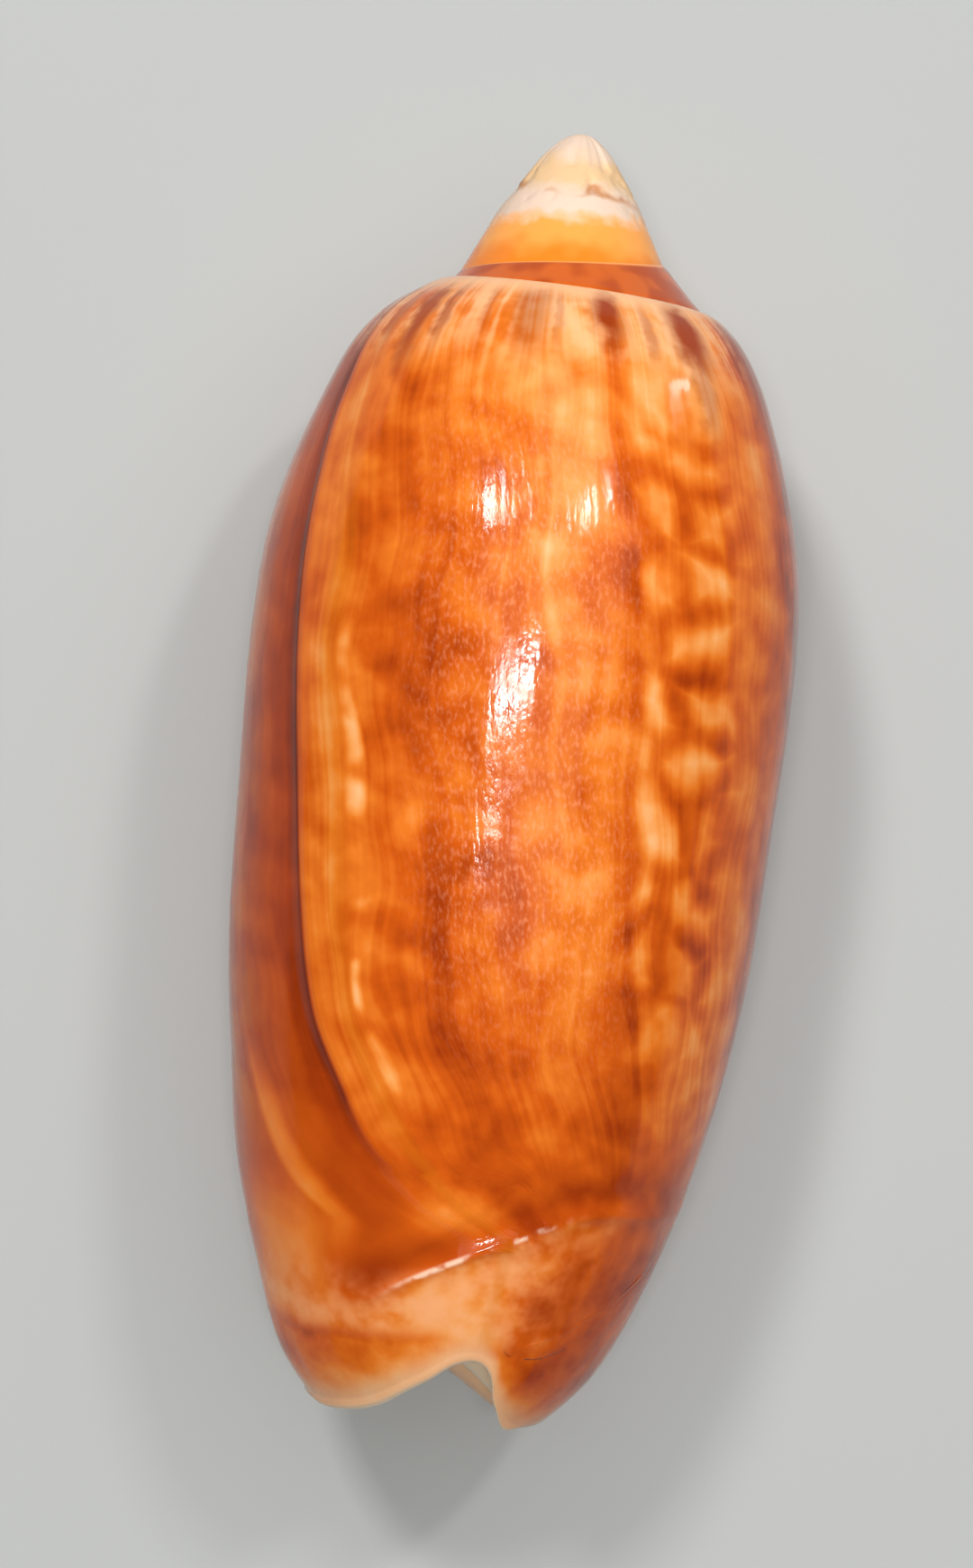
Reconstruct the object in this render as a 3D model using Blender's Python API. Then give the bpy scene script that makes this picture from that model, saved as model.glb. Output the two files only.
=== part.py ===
"""Olive shell lying on its mouth side, spire towards +Y, made as it grew.

The whole shell is one sheet wound round an axis and turned back into the mouth as a lining.
Heights run from the apex along the axis, and angles follow the growth in degrees: 0 is the
middle of the back, -90 the right side, 90 the left side, and 150 the outer lip underneath.
"""
import math

import bmesh
import bpy
from mathutils import Vector

MM = 0.001

# Growth angles
TURN = 360.0
LIP = 150.0
MOUTH = LIP - TURN
RIGHT = -90
LEFT = 90
SPIRE_TURNS = 3
COLUMN = 10.0

# The body whorl: its radius at each height, in millimetres
BODY = ((7.5, 6.6), (8.1, 7.4), (9.0, 8.4), (10.4, 9.35), (12.0, 10.1), (16.0, 11.5), (20.0, 12.4),
        (25.0, 12.65), (31.0, 12.45), (39.0, 12.05), (46.0, 10.95), (52.4, 9.2), (57.0, 7.2),
        (59.5, 5.1), (60.4, 3.6))
FULLER_LEFT = ((44.0, 0.0), (49.0, 0.25), (54.0, 0.3), (57.5, 0.6), (59.8, 0.8))
FULLER_FROM = 10
FULLER_FADES = 60
FLOOR = -10.9

# The shoulder edge, which winds up the spire: radius and height at each growth angle
EDGE_RADIUS = ((-450, 4.35), (-360, 4.85), (-270, 5.0), (-210, 5.3), (-135, 6.5), (-90, 7.1),
               (0, 6.6), (90, 5.8), (150, 6.1), (210, 6.3))
EDGE_HEIGHT = ((-450, 5.6), (-360, 6.5), (-270, 7.15), (-210, 7.5), (-135, 8.0), (-90, 8.0),
               (0, 7.75), (90, 7.6), (150, 8.2), (210, 8.5))
RADIUS_GROWTH = 1.55
HEIGHT_GROWTH = 2.0
APEX_BLUNTNESS = 1.9
RIM_HALF = 0.15
GROOVE_INSET = 0.3
GROOVE_DEPTH = 0.42
GROOVE_OPENS = (-260, -200)
RIM_OUT = 0.3
RIM_DOWN = 0.12
BAND_HEIGHT = 1.9
BAND_STARTS = 0.08
BAND_ENDS = 0.9
SEAM_AT = 0.96
GROOVE_SLOPE = 1.6
GROOVE_LIP = 0.05
FREE_OF_SPIRE = 60

# The mouth: where it starts, its wall, its width and its edges
MOUTH_TOP = 11.3
WALL = ((8.0, 2.2), (12.0, 2.0), (18.0, 1.7), (40.0, 1.6), (50.0, 1.3), (58.0, 1.0))
GAP = ((0.0, 0.0), (0.03, 0.7), (0.1, 1.1), (0.3, 1.8), (0.5, 2.2), (0.7, 3.0), (0.85, 4.2),
       (1.0, 4.6))
HOLLOW_WIDENING = 1.3
WIDENING_DEGREES = 15
HOLLOW_DEGREES = 170
HOLLOW_CLOSES = 0.35
WIDE_FROM = 0.1
DEEPEST = 0.85
PILLAR_ROOM = 0.75
SWEEP_FROM = 60
ROW_GROWTH = 0.35
LIP_SWEEP = ((0.0, 150), (0.73, 150), (0.857, 143), (0.94, 128), (1.0, 105))
DEEP_END = ((0.0, -20), (0.7, -20), (1.0, -60))
FRONT_EDGE = ((-255, 56.6), (-210, 57.3), (-150, 58.5), (-90, 59.75), (-66, 60.05), (-37, 59.7),
              (-23, 58.3), (-18, 57.0), (-12, 56.4), (-4, 56.65), (6, 57.6), (30, 59.15),
              (61, 59.8), (80, 59.7), (95, 59.3), (105, 58.6))
FRONT_RIM = 0.4
PILLAR_END_POWER = 9
LIP_FLARE = 0.6
FLARE_FROM = 105
FLARE_ROWS = (0.15, 0.6, 0.85)
EDGE_BULGE = 0.8
CORNER_ROWS = (0.85, 1.0)
CORNER_COLUMNS = (0.75, 1.0)
BULGE_STARTS = (0.0, 0.12)
AXIS_X = ((45.0, 0.0), (54.0, 1.2), (60.0, 2.6))
AXIS_Z = ((45.0, 0.0), (60.0, -0.6))
PILLAR_TIP = Vector((3.9, -59.95, -0.9))
TIP_ROUNDS = 70

# The ridge that crosses the back near the front end
RIDGE = ((-70, 49.2), (-34, 49.2), (-16, 50.5), (3, 52.1), (25, 54.1))
RIDGE_RISE = ((-100, 0.0), (-50, 0.32), (5, 0.32), (35, 0.0))
RIDGE_WIDTH = 1.0
VALLEY = 0.6
VALLEY_OFF = 1.8

KNOTS = 6
NECK_ROWS = 3
MOUTH_ROWS = 24
EDGE_ROWS = 3
WELD = 0.002


def clear_scene():
    for thing in list(bpy.data.objects):
        bpy.data.objects.remove(thing, do_unlink=True)


def along(curve, x):
    """Value at x of the smooth line through the curve's points."""
    if x <= curve[0][0]:
        return curve[0][1]
    if x >= curve[-1][0]:
        return curve[-1][1]
    i = max(k for k in range(len(curve) - 1) if curve[k][0] <= x)
    (x0, y0), (x1, y1) = curve[i], curve[i + 1]
    before = curve[max(i - 1, 0)]
    after = curve[min(i + 2, len(curve) - 1)]
    width = x1 - x0
    start = (y1 - before[1]) / (x1 - before[0]) * width
    end = (after[1] - y0) / (after[0] - x0) * width
    t = (x - x0) / width
    return ((2 * t ** 3 - 3 * t ** 2 + 1) * y0 + (t ** 3 - 2 * t ** 2 + t) * start
            + (3 * t ** 2 - 2 * t ** 3) * y1 + (t ** 3 - t ** 2) * end)


def ease(low, high, x):
    t = min(max((x - low) / (high - low), 0.0), 1.0)
    return t * t * (3 - 2 * t)


def point(angle, radius, height):
    turn = math.radians(angle)
    return Vector((-radius * math.sin(turn), -height, radius * math.cos(turn)))


def shoulder_edge(angle):
    """Radius and height of the shoulder edge, which keeps its growth rates above the last turns."""
    first = EDGE_RADIUS[0][0]
    turns = min(angle - first, 0.0) / TURN
    radius = along(EDGE_RADIUS, angle) * RADIUS_GROWTH ** turns
    height = along(EDGE_HEIGHT, angle) * HEIGHT_GROWTH ** turns
    return radius, height


def groove_open(angle):
    """1 where the groove beside the shoulder edge is open, less where callus fills it."""
    return ease(*GROOVE_OPENS, angle)


def body_radius(angle, height):
    """Radius of the last whorl above the mouth, where it tucks in under the lip."""
    under = min(max((RIGHT - angle) / (RIGHT - MOUTH), 0.0), 1.0)
    return along(BODY, height) - along(WALL, height) * under ** 3


def eased_in(angle, height, start):
    """The last whorl's radius at a height, led smoothly away from a starting point."""
    radius, top = start
    left = (MOUTH_TOP - height) / (MOUTH_TOP - top)
    return body_radius(angle, height) + (radius - body_radius(angle, top)) * left ** 2


def mix(first, second, share):
    return tuple(a + (b - a) * share for a, b in zip(first, second))


def between_turns(angle, index):
    """Knots from under a shoulder edge to the groove beside the next turn's edge."""
    edge = shoulder_edge(angle)
    after = shoulder_edge(angle + TURN)
    opening = groove_open(angle + TURN)
    if index == KNOTS:
        closed = mix(edge, after, SEAM_AT)
        bottom = after[0] - GROOVE_INSET, after[1] + GROOVE_DEPTH
        return mix(closed, bottom, opening)
    closed = mix(edge, after, BAND_ENDS)
    groove_side = after[0] - GROOVE_SLOPE * GROOVE_INSET, after[1] - GROOVE_LIP
    start = mix(edge, after, BAND_STARTS)
    return mix(start, mix(closed, groove_side, opening), (index - 2) / (KNOTS - 3))


def knot(angle, index):
    """Radius and height of a whorl's profile from its shoulder edge to the groove below."""
    radius, height = shoulder_edge(angle)
    if index > KNOTS:
        return knot(angle + TURN, 0)
    if index == 0:
        opening = groove_open(angle)
        return radius - RIM_HALF * opening, height + RIM_HALF * opening
    if index == 1:
        return radius, height
    old = between_turns(angle, index)
    new_start = radius + RIM_OUT, height + RIM_DOWN
    drop = new_start[1] + BAND_HEIGHT * (index - 2) / (KNOTS - 2)
    new = eased_in(angle, drop, new_start), drop
    return mix(old, new, ease(MOUTH, MOUTH + FREE_OF_SPIRE, angle))


def ridge(angle, height):
    """Rise of the ridge that crosses the back, and of the valley on its spire side."""
    off = (height - along(RIDGE, angle)) / RIDGE_WIDTH
    shape = math.exp(-off ** 2) - VALLEY * math.exp(-(off + VALLEY_OFF) ** 2)
    return along(RIDGE_RISE, angle) * shape


def fullness(angle, height):
    """Extra radius of the newest growth, on the left towards the front end."""
    side = angle % TURN
    fades = 1 - ease(LIP, LIP + FULLER_FADES, side)
    return along(FULLER_LEFT, height) * ease(FULLER_FROM, LEFT, side) * fades


def ray_from_pillar(angle, height):
    """The pillar's middle at a height, and the way from it to the outside of the last whorl."""
    radius = along(BODY, height) + ridge(angle, height) + fullness(angle, height)
    pillar = Vector((along(AXIS_X, height), -height, along(AXIS_Z, height)))
    return pillar, point(angle, radius, height) - pillar


def on_ray(angle, height, depth):
    """Point that lies a depth under the last whorl, towards the inner pillar."""
    pillar, ray = ray_from_pillar(angle, height)
    depth = min(depth, ray.length * DEEPEST)
    return pillar + ray - ray.normalized() * depth


def swept(angle, down):
    """Growth angle after the lip's edge curves back towards the front end."""
    sweep = along(LIP_SWEEP, down)
    if angle > SWEEP_FROM:
        return SWEEP_FROM + (angle - SWEEP_FROM) * (sweep - SWEEP_FROM) / (LIP - SWEEP_FROM)
    if angle < RIGHT:
        return RIGHT + (angle - RIGHT) * (sweep - TURN - RIGHT) / (MOUTH - RIGHT)
    return angle


def level(front, down):
    """Height in the mouth's rows, from its top to a place on the front edge."""
    return MOUTH_TOP + (front - FRONT_RIM - MOUTH_TOP) * down


def mouth_gap(share, down):
    """Width of the mouth's hollow, from its deep end (share 0) to the lip (share 1)."""
    inside = 1 - math.exp(-(1 - share) * HOLLOW_DEGREES / WIDENING_DEGREES)
    wide = HOLLOW_WIDENING * (1 - down) * min(down / WIDE_FROM, 1.0) * inside
    closed = max(0.0, 1 - share / HOLLOW_CLOSES)
    return (along(GAP, down) + wide) * math.sqrt(1 - closed ** 2)


def lip_flare(angle, height, down):
    """Extra thickness of the lip, which stands on the ground along its middle."""
    wanted = -FLOOR / -math.cos(math.radians(LIP)) - along(BODY, height)
    size = min(max(wanted, 0.0), LIP_FLARE)
    starts, wanes, ends = FLARE_ROWS
    return size * ease(FLARE_FROM, LIP, angle) * ease(0.0, starts, down) * (1 - ease(wanes, ends, down))


def outer(angle, down):
    """Outside of the last whorl beside the mouth."""
    where = swept(angle, down)
    height = level(along(FRONT_EDGE, swept(angle, 1.0)), down)
    mouth = along(LIP_SWEEP, down) - TURN
    under = min(max((RIGHT - where) / (RIGHT - mouth), 0.0), 1.0)
    depth = (along(WALL, height) + mouth_gap(1.0, down)) * under ** 3
    return on_ray(where, height, depth - lip_flare(angle, height, down))


def hollow_angle(share, down):
    deep = along(DEEP_END, down)
    return deep + (LIP - deep) * share


def inner(share, down):
    """Inside of the outer wall, from the hollow's deep end to the lip."""
    angle = hollow_angle(share, down)
    height = level(along(FRONT_EDGE, swept(hollow_angle(share, 1.0), 1.0)), down)
    return on_ray(swept(angle, down), height, along(WALL, height))


def pillar_side(share, down):
    """The wall that faces the outer wall across the hollow, from the deep end to the lip."""
    angle = swept(hollow_angle(share, down), down)
    deep, near = along(FRONT_EDGE, DEEP_END[-1][1]), FRONT_EDGE[0][1]
    height = level(near + (deep - near) * (1 - share) ** PILLAR_END_POWER, down)
    wall = along(WALL, height)
    pillar, ray = ray_from_pillar(angle, height)
    room = ray.length - wall
    gap = mouth_gap(share, down)
    if share < 1:
        gap = min(gap, room * PILLAR_ROOM)
    return on_ray(angle, height, wall + gap)


def last_whorl(angle, row):
    """Outside of the last whorl in rows: shoulder, neck above the mouth, then the mouth's rows."""
    if row <= KNOTS:
        return point(angle, *knot(angle, row))
    if row <= KNOTS + NECK_ROWS:
        start = knot(angle, KNOTS)
        height = start[1] + (MOUTH_TOP - start[1]) * (row - KNOTS) / NECK_ROWS
        return point(angle, eased_in(angle, height, start), height)
    return outer(angle, row_down(row - KNOTS - NECK_ROWS))


def row_down(row):
    """Share of the way down the mouth, with closer rows towards the front end."""
    t = row / MOUTH_ROWS
    return t * (1 + ROW_GROWTH * (1 - t))


def rounded(outside, inside, way, share):
    """Point on a half-round edge from the outside of the wall to its inside."""
    middle = (outside + inside) / 2
    half = (outside - inside) / 2
    turn = math.pi * share
    return middle + half * math.cos(turn) + way * half.length * EDGE_BULGE * math.sin(turn)


def edge_way(share, down):
    """Direction in which the free edge of the wall faces, shorter where it joins the pillar."""
    angle = math.radians(swept(hollow_angle(share, down), down))
    along_growth = Vector((-math.cos(angle), 0, -math.sin(angle)))
    to_front = Vector((0, -1, 0))
    corner_row = ease(*CORNER_ROWS, down)
    corner_column = ease(*CORNER_COLUMNS, share)
    way = along_growth * corner_column * (2 - corner_row) + to_front * corner_row * (2 - corner_column)
    bulge = 1 - corner_row * (1 - ease(*BULGE_STARTS, share))
    return way.normalized() * bulge


def sheet(bm, columns, rows, place):
    """A grid whose vertices are laid on the surface place(u, v), with u and v from 0 to 1."""
    made = bmesh.ops.create_grid(bm, x_segments=columns, y_segments=rows, size=1.0)
    for vertex in made["verts"]:
        u = round((vertex.co.x + 1) / 2 * columns) / columns
        v = round((vertex.co.y + 1) / 2 * rows) / rows
        spot = place(u, v)
        spot.z = max(spot.z, FLOOR)
        vertex.co = spot * MM


def add_spire(bm):
    first = MOUTH - SPIRE_TURNS * TURN
    columns = round(SPIRE_TURNS * TURN / COLUMN)
    rows = KNOTS + 1

    def strip(u, v):
        angle = first + SPIRE_TURNS * TURN * u
        return point(angle, *knot(angle, round(v * rows)))

    def apex_turn(u, v):
        return apex(strip(u / SPIRE_TURNS, 0), v)

    def apex_start(u, v):
        return apex(strip(0, u), v)

    def apex(edge, v):
        reach = 1 - v
        return Vector((edge.x * reach, edge.y * reach ** APEX_BLUNTNESS, edge.z * reach))

    sheet(bm, columns, rows, strip)
    sheet(bm, round(TURN / COLUMN), EDGE_ROWS, apex_turn)
    sheet(bm, rows, EDGE_ROWS, apex_start)


def add_last_whorl(bm):
    rows = KNOTS + NECK_ROWS + MOUTH_ROWS
    sheet(bm, round(TURN / COLUMN), rows, lambda u, v: last_whorl(MOUTH + TURN * u, round(v * rows)))


def add_hollow(bm):
    columns = round((LIP - DEEP_END[-1][1]) / COLUMN)
    sheet(bm, columns, MOUTH_ROWS, lambda u, v: inner(u, row_down(v * MOUTH_ROWS)))
    sheet(bm, columns, MOUTH_ROWS, lambda u, v: pillar_side(u, row_down(v * MOUTH_ROWS)))


def add_edges(bm):
    """The half-round free edges: the lip from its start, then along the front end."""
    first = DEEP_END[-1][1]
    columns = round((LIP - first) / COLUMN)

    def lip_edge(u, v):
        down = row_down(u * MOUTH_ROWS)
        return rounded(outer(LIP, down), inner(1.0, down), edge_way(1.0, down), v)

    def front_edge(u, v):
        outside = outer(first + (LIP - first) * u, 1.0)
        return rounded(outside, inner(u, 1.0), edge_way(u, 1.0), v)

    def lip_start(u, v):
        """The lip's end beside the groove, where it meets the turn before it."""
        row = round(u * (KNOTS + NECK_ROWS))
        outside = last_whorl(LIP, row)
        inside = last_whorl(MOUTH, max(row, KNOTS))
        if row == 0:
            return inside if v == 1 else outside
        return rounded(outside, inside, edge_way(1.0, 0.0), v)

    sheet(bm, KNOTS + NECK_ROWS, EDGE_ROWS, lip_start)
    sheet(bm, MOUTH_ROWS, EDGE_ROWS, lip_edge)
    sheet(bm, columns, EDGE_ROWS, front_edge)


def add_pillar_end(bm):
    """The rounded front end of the inner pillar."""
    first = DEEP_END[-1][1]

    def cap(edge, v, full):
        """Point between an edge and the tip, hollow where full is 0 and rounded where 1."""
        turn = v * math.pi / 2
        spot = edge.lerp(PILLAR_TIP, v)
        rise = (1 - math.cos(turn)) * (1 - full) + math.sin(turn) * full
        spot.y = edge.y + (PILLAR_TIP.y - edge.y) * rise
        return spot

    def outside(u, v):
        angle = MOUTH + (first - MOUTH) * u
        return cap(outer(angle, 1.0), v, ease(MOUTH, MOUTH + TIP_ROUNDS, angle))

    def inside(u, v):
        return cap(pillar_side(u, 1.0), v, 0.0)

    def wall_edge(u, v):
        edge = rounded(outer(first, 1.0), inner(0.0, 1.0), edge_way(0.0, 1.0), u)
        return cap(edge, v, 1 - u)

    sheet(bm, round((first - MOUTH) / COLUMN), EDGE_ROWS, outside)
    sheet(bm, round((LIP - first) / COLUMN), EDGE_ROWS, inside)
    sheet(bm, EDGE_ROWS, EDGE_ROWS, wall_edge)


def close_up(bm):
    """Weld the sheets into one closed skin and turn every face outwards."""
    bmesh.ops.remove_doubles(bm, verts=bm.verts, dist=WELD * MM)
    bmesh.ops.triangulate(bm, faces=bm.faces)
    bmesh.ops.recalc_face_normals(bm, faces=bm.faces)


def settle(bm):
    """Put the middle of the shell's footprint at the origin and its lowest side on the ground."""
    low = Vector(min(vertex.co[axis] for vertex in bm.verts) for axis in range(3))
    high = Vector(max(vertex.co[axis] for vertex in bm.verts) for axis in range(3))
    middle = (low + high) / 2
    bmesh.ops.translate(bm, verts=bm.verts, vec=(-middle.x, -middle.y, -low.z))


def shell_material():
    material = bpy.data.materials.new("glazed_shell")
    material.use_nodes = True
    shader = material.node_tree.nodes["Principled BSDF"]
    shader.inputs["Base Color"].default_value = (0.55, 0.11, 0.015, 1.0)
    shader.inputs["Roughness"].default_value = 0.2
    shader.inputs["Metallic"].default_value = 0.0
    return material


def make_shell():
    bm = bmesh.new()
    add_spire(bm)
    add_last_whorl(bm)
    add_hollow(bm)
    add_edges(bm)
    add_pillar_end(bm)
    close_up(bm)
    settle(bm)
    mesh = bpy.data.meshes.new("shell")
    bm.to_mesh(mesh)
    bm.free()
    mesh.materials.append(shell_material())
    mesh.shade_smooth()
    shell = bpy.data.objects.new("shell", mesh)
    collection = bpy.data.collections.new("olive_shell")
    bpy.context.scene.collection.children.link(collection)
    collection.objects.link(shell)


clear_scene()
make_shell()
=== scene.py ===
import math

import bpy
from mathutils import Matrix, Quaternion, Vector, noise


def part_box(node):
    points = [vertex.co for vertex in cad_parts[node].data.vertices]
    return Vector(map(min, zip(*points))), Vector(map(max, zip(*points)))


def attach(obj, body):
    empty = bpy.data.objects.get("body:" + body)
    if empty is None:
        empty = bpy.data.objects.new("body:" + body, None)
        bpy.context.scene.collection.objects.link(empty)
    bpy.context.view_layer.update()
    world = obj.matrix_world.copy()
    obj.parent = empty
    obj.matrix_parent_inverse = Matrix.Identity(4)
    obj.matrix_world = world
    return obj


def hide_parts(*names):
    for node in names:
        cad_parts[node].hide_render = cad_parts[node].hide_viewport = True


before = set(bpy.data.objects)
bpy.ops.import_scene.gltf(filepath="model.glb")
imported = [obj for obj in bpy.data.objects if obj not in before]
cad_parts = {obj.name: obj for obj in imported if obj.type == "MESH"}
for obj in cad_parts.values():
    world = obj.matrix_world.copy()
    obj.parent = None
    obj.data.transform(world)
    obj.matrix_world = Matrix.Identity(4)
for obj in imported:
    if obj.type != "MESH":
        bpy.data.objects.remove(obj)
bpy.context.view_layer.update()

# The shell grew as one piece: a tube of glazed lime wound round a pillar, whose last turn wraps
# the older ones. Each sheet of it is a grid laid on the growth law, in millimetres from the apex
# and degrees of growth (0 the middle of the back, 90 the left side, 150 the lip underneath).
MM = 0.001
LENGTH = 60.0
TURN = 360.0
LIP = 150.0
MOUTH = LIP - TURN
SPIRE_TURNS = 3
COLUMN = 2.0

BODY = ((7.5, 6.6), (8.1, 7.4), (9.0, 8.4), (10.4, 9.35), (12.0, 10.1), (16.0, 11.5), (20.0, 12.4),
        (25.0, 12.65), (31.0, 12.45), (39.0, 12.05), (46.0, 10.95), (52.4, 9.2), (57.0, 7.2),
        (59.5, 5.1), (60.4, 3.6))
FULLER_LEFT = ((44.0, 0.0), (49.0, 0.25), (54.0, 0.3), (57.5, 0.6), (59.8, 0.8))
FULLER_FROM = (10, 90)
FULLER_FADES = (150, 210)
FLOOR = -10.9

EDGE_RADIUS = ((-450, 4.35), (-360, 4.85), (-270, 5.0), (-210, 5.3), (-135, 6.5), (-90, 7.1),
               (0, 6.6), (90, 5.8), (150, 6.1), (210, 6.3))
EDGE_HEIGHT = ((-450, 5.6), (-360, 6.5), (-270, 7.15), (-210, 7.5), (-135, 8.0), (-90, 8.0),
               (0, 7.75), (90, 7.6), (150, 8.2), (210, 8.5))
RADIUS_GROWTH = 1.55
HEIGHT_GROWTH = 2.0
APEX_BLUNTNESS = 1.9
RIGHT_SIDE = -90
RIM_HALF = 0.15
GROOVE_INSET = 0.3
GROOVE_DEPTH = 0.42
GROOVE_OPENS = (-260, -200)
GROOVE_SLOPE = 1.6
GROOVE_LIP = 0.05
SEAM_AT = 0.96
BAND_STARTS = 0.08
BAND_ENDS = 0.9
RIM_OUT = 0.3
RIM_DOWN = 0.12
BAND_HEIGHT = 1.9
WHORL_SETTLES = 60

MOUTH_TOP = 11.3
WALL = ((8.0, 2.2), (12.0, 2.0), (18.0, 1.7), (40.0, 1.6), (50.0, 1.3), (58.0, 1.0))
GAP = ((0.0, 0.0), (0.03, 0.7), (0.1, 1.1), (0.3, 1.8), (0.5, 2.2), (0.7, 3.0), (0.85, 4.2),
       (1.0, 4.6))
HOLLOW_WIDENING = 1.3
HOLLOW_DEGREES = 170
WIDENS_BELOW = 0.1
WIDENS_OVER = 15
HOLLOW_ROUND = 0.35
GAP_SHARE = 0.75
INNERMOST = 0.85
FRONT_START = -60
SWEEP_STARTS = 60
LIP_SWEEP = ((0.0, 150), (0.73, 150), (0.857, 143), (0.94, 128), (1.0, 105))
DEEP_END = ((0.0, -20), (0.7, -20), (1.0, FRONT_START))
FRONT_EDGE = ((-255, 56.6), (-210, 57.3), (-150, 58.5), (-90, 59.75), (-66, 60.05), (-37, 59.7),
              (-23, 58.3), (-18, 57.0), (-12, 56.4), (-4, 56.65), (6, 57.6), (30, 59.15),
              (61, 59.8), (80, 59.7), (95, 59.3), (105, 58.6))
FRONT_RIM = 0.4
PILLAR_END_POWER = 9
LIP_FLARE = 0.6
FLARE_FROM = 105
FLARE_STARTS = (0.0, 0.15)
FLARE_ENDS = (0.6, 0.85)
EDGE_ROUNDNESS = 0.8
CORNER_ROWS = (0.85, 1.0)
CORNER_COLUMNS = (0.75, 1.0)
BULGE_STARTS = (0.0, 0.12)
TIP_ROUNDS = 70
AXIS_X = ((45.0, 0.0), (54.0, 1.2), (60.0, 2.6))
AXIS_Z = ((45.0, 0.0), (60.0, -0.6))

RIDGE = ((-240, 38.0), (-190, 41.5), (-140, 45.5), (-100, 48.2), (-70, 49.2), (-34, 49.2),
         (-16, 50.5), (3, 52.1), (25, 54.1))
RIDGE_RISE = ((-230, 0.0), (-215, 0.12), (-130, 0.12), (-100, 0.05), (-70, 0.08), (-50, 0.25),
              (5, 0.25), (35, 0.0))
RIDGE_WIDTH = 0.35
RIDGE_STARTS = (0, 30)
VALLEY_SHARE = 0.3
VALLEY_AT = 2.6
VALLEY_WIDTH = 1.5
FOLD_RISE = 0.2
FOLD_STEP = 2.3
FOLD_SLANT = 0.09
FOLDS_START = (33, 46)
FOLDS_END = (54, 56)
FOLDS_FADE = (6, 36)
REST_START = 66.0
REST_LINE = ((8, REST_START), (14, 62), (18, 57), (25, 53), (31, 49), (37, 44), (41.5, 39),
             (44.5, 31), (47.3, 22), (49.4, 9), (50.6, -5))
REST_DROP = 0.28
REST_REACH = 30.0
REST_EDGE = (0, 1.5)
REST_LIP = 0.04
REST_LIP_REACH = 2.5
LINES_STRAIGHTEN = (49.5, 56)
LINES_SETTLE = (45.0, 50.0)
LINES_BY_PLACE_BELOW = 48.0
LONG_WAVE = 0.03
SHORT_WAVE = 0.012
RELIEF_STARTS = (7.8, 11)
RELIEF_ENDS = (44.5, 49.5)
RELIEF_GROWS = (-205, -150)
RELIEF_STOPS = (0.97, 1.0)

KNOTS = 6
KNOT_STEPS = 3
NECK_ROWS = 8
MOUTH_ROWS = 180
ROW_CROWDING = 0.35
EDGE_ROWS = 6
WEAR_DEPTH = 0.3
WEAR_FADES = (3.4, 4.6)
WELD = 0.002
MARK_UNIT = 10
PAST_RINGS = 9.0
# Marks of a sheet that lies far from the ridge and from the front edge
AWAY = -50.0


def along(curve, x):
    """Value at x of the smooth line through the curve's points."""
    if x <= curve[0][0]:
        return curve[0][1]
    if x >= curve[-1][0]:
        return curve[-1][1]
    i = 0
    while curve[i + 1][0] < x:
        i += 1
    (x0, y0), (x1, y1) = curve[i], curve[i + 1]
    before = curve[max(i - 1, 0)]
    after = curve[min(i + 2, len(curve) - 1)]
    width = x1 - x0
    start = (y1 - before[1]) / (x1 - before[0]) * width
    end = (after[1] - y0) / (after[0] - x0) * width
    t = (x - x0) / width
    return ((2 * t ** 3 - 3 * t ** 2 + 1) * y0 + (t ** 3 - 2 * t ** 2 + t) * start
            + (3 * t ** 2 - 2 * t ** 3) * y1 + (t ** 3 - t ** 2) * end)


def ease(low, high, x):
    t = min(max((x - low) / (high - low), 0.0), 1.0)
    return t * t * (3 - 2 * t)


def point(angle, radius, height):
    turn = math.radians(angle)
    return Vector((-radius * math.sin(turn), -height, radius * math.cos(turn)))


def shoulder_edge(angle):
    first = EDGE_RADIUS[0][0]
    turns = min(angle - first, 0.0) / TURN
    radius = along(EDGE_RADIUS, angle) * RADIUS_GROWTH ** turns
    height = along(EDGE_HEIGHT, angle) * HEIGHT_GROWTH ** turns
    return radius, height


def groove_open(angle):
    return ease(*GROOVE_OPENS, angle)


def body_radius(angle, height):
    under = min(max((RIGHT_SIDE - angle) / (RIGHT_SIDE - MOUTH), 0.0), 1.0)
    return along(BODY, height) - along(WALL, height) * under ** 3


def eased_in(angle, height, start):
    radius, top = start
    left = (MOUTH_TOP - height) / (MOUTH_TOP - top)
    return body_radius(angle, height) + (radius - body_radius(angle, top)) * left ** 2


def mix(first, second, share):
    return tuple(a + (b - a) * share for a, b in zip(first, second))


def between_turns(angle, index):
    """Knots from under a shoulder edge to the groove beside the next turn's edge."""
    edge = shoulder_edge(angle)
    after = shoulder_edge(angle + TURN)
    opening = groove_open(angle + TURN)
    if index == KNOTS:
        closed = mix(edge, after, SEAM_AT)
        bottom = after[0] - GROOVE_INSET, after[1] + GROOVE_DEPTH
        return mix(closed, bottom, opening)
    closed = mix(edge, after, BAND_ENDS)
    groove_side = after[0] - GROOVE_SLOPE * GROOVE_INSET, after[1] - GROOVE_LIP
    start = mix(edge, after, BAND_STARTS)
    return mix(start, mix(closed, groove_side, opening), (index - 2) / (KNOTS - 3))


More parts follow.
